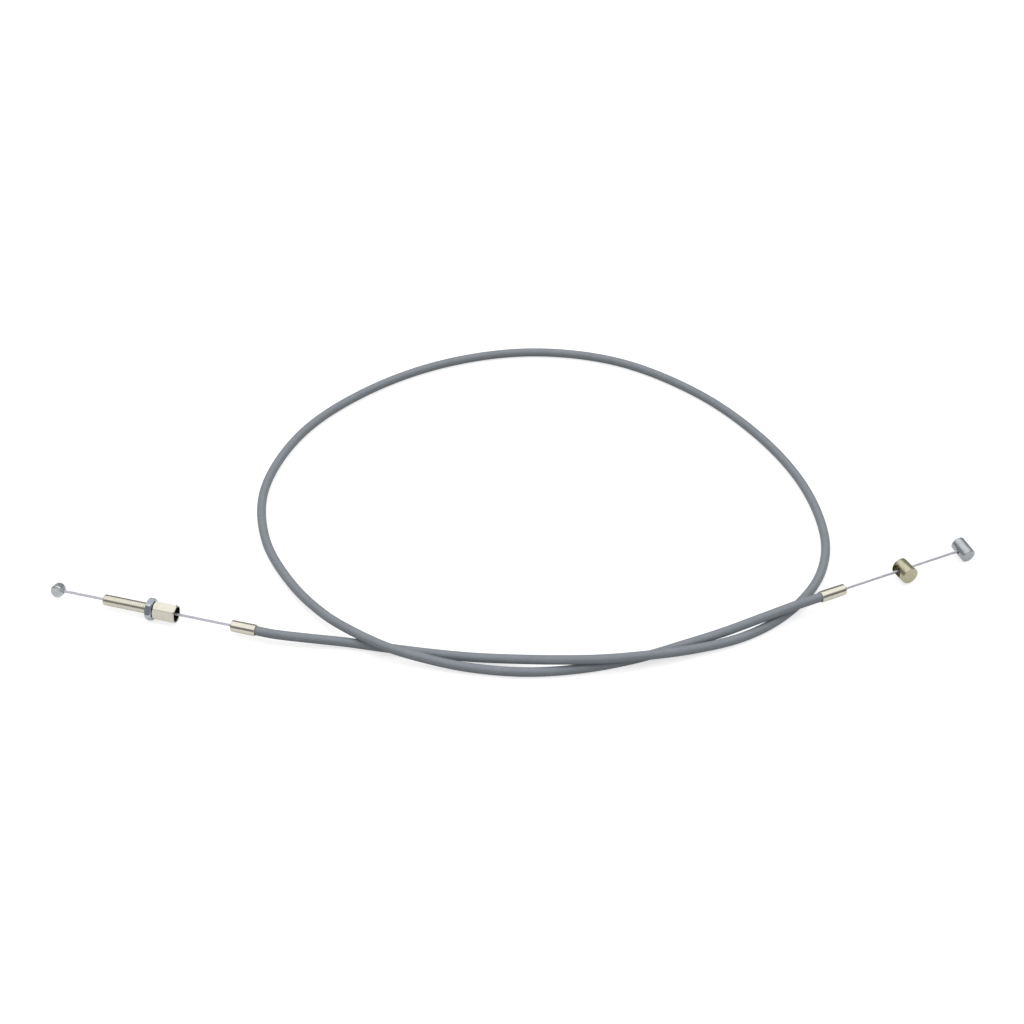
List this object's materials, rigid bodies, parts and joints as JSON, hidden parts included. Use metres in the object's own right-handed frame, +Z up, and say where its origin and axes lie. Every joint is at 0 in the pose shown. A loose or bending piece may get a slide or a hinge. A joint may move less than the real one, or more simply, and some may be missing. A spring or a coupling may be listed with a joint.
{
  "type": "shift cable",
  "caption": "Sheathed shift cable in a loose loop: ferrules, adjusting screw with lock nut, pivot barrel and barrel nipples on its inner wire.",
  "frame": {"origin": "on the floor, below the middle of the box round the metal fittings (ferrules, screw, nut, barrel and nipples)", "axes": "+X from the small nipple towards the large nipple, +Y from the crossed ends towards the far side of the loop, +Z up from the floor that the cable lies on"},
  "size_m": [0.4993, 0.2942, 0.011],
  "materials": {
    "jacket_plastic": "satin blue-grey PVC",
    "conduit_steel": "bare flat wire",
    "wire_steel": "galvanised strand",
    "nickel_plate": "warm nickel plate",
    "zinc_plate": "bright blue-white zinc plate",
    "cast_zinc": "dull cast zinc"
  },
  "bodies": {
    "sheath": {"outer_jacket": "jacket_plastic", "spiral_conduit": "conduit_steel", "inner_wire_middle": "wire_steel", "ferrule_left": "nickel_plate", "ferrule_right": "nickel_plate"},
    "right_wire_end": {"inner_wire_right": "wire_steel", "nipple_right": "cast_zinc"},
    "left_wire_end": {"inner_wire_left": "wire_steel", "nipple_left": "cast_zinc"},
    "adjuster": {"adjusting_screw": "nickel_plate"},
    "lock_nut": {"lock_nut": "zinc_plate"},
    "pivot_barrel": {"pivot_barrel": "nickel_plate"}
  },
  "joints": [
    {"name": "right_wire_slide", "type": "slide", "parent": "sheath", "child": "right_wire_end", "axis": [0.8879, 0.4594, -0.025], "range_m": [-0.01, 0.01]},
    {"name": "left_wire_slide", "type": "slide", "parent": "sheath", "child": "left_wire_end", "axis": [-0.9573, 0.289, 0], "range_m": [-0.01, 0.01]},
    {"name": "adjuster_slide", "type": "slide", "parent": "sheath", "child": "adjuster", "axis": [-0.9573, 0.289, 0], "range_m": [-0.0414, 0.0128]},
    {"name": "lock_nut_travel", "type": "slide", "parent": "adjuster", "child": "lock_nut", "axis": [-0.9573, 0.289, 0], "range_m": [0, 0.025]},
    {"name": "pivot_barrel_slide", "type": "slide", "parent": "sheath", "child": "pivot_barrel", "axis": [0.8879, 0.4594, -0.025], "range_m": [-0.0388, 0.0201]}
  ],
  "couplings": [
    {"joint": "left_wire_slide", "follows": "right_wire_slide", "ratio": -1}
  ]
}
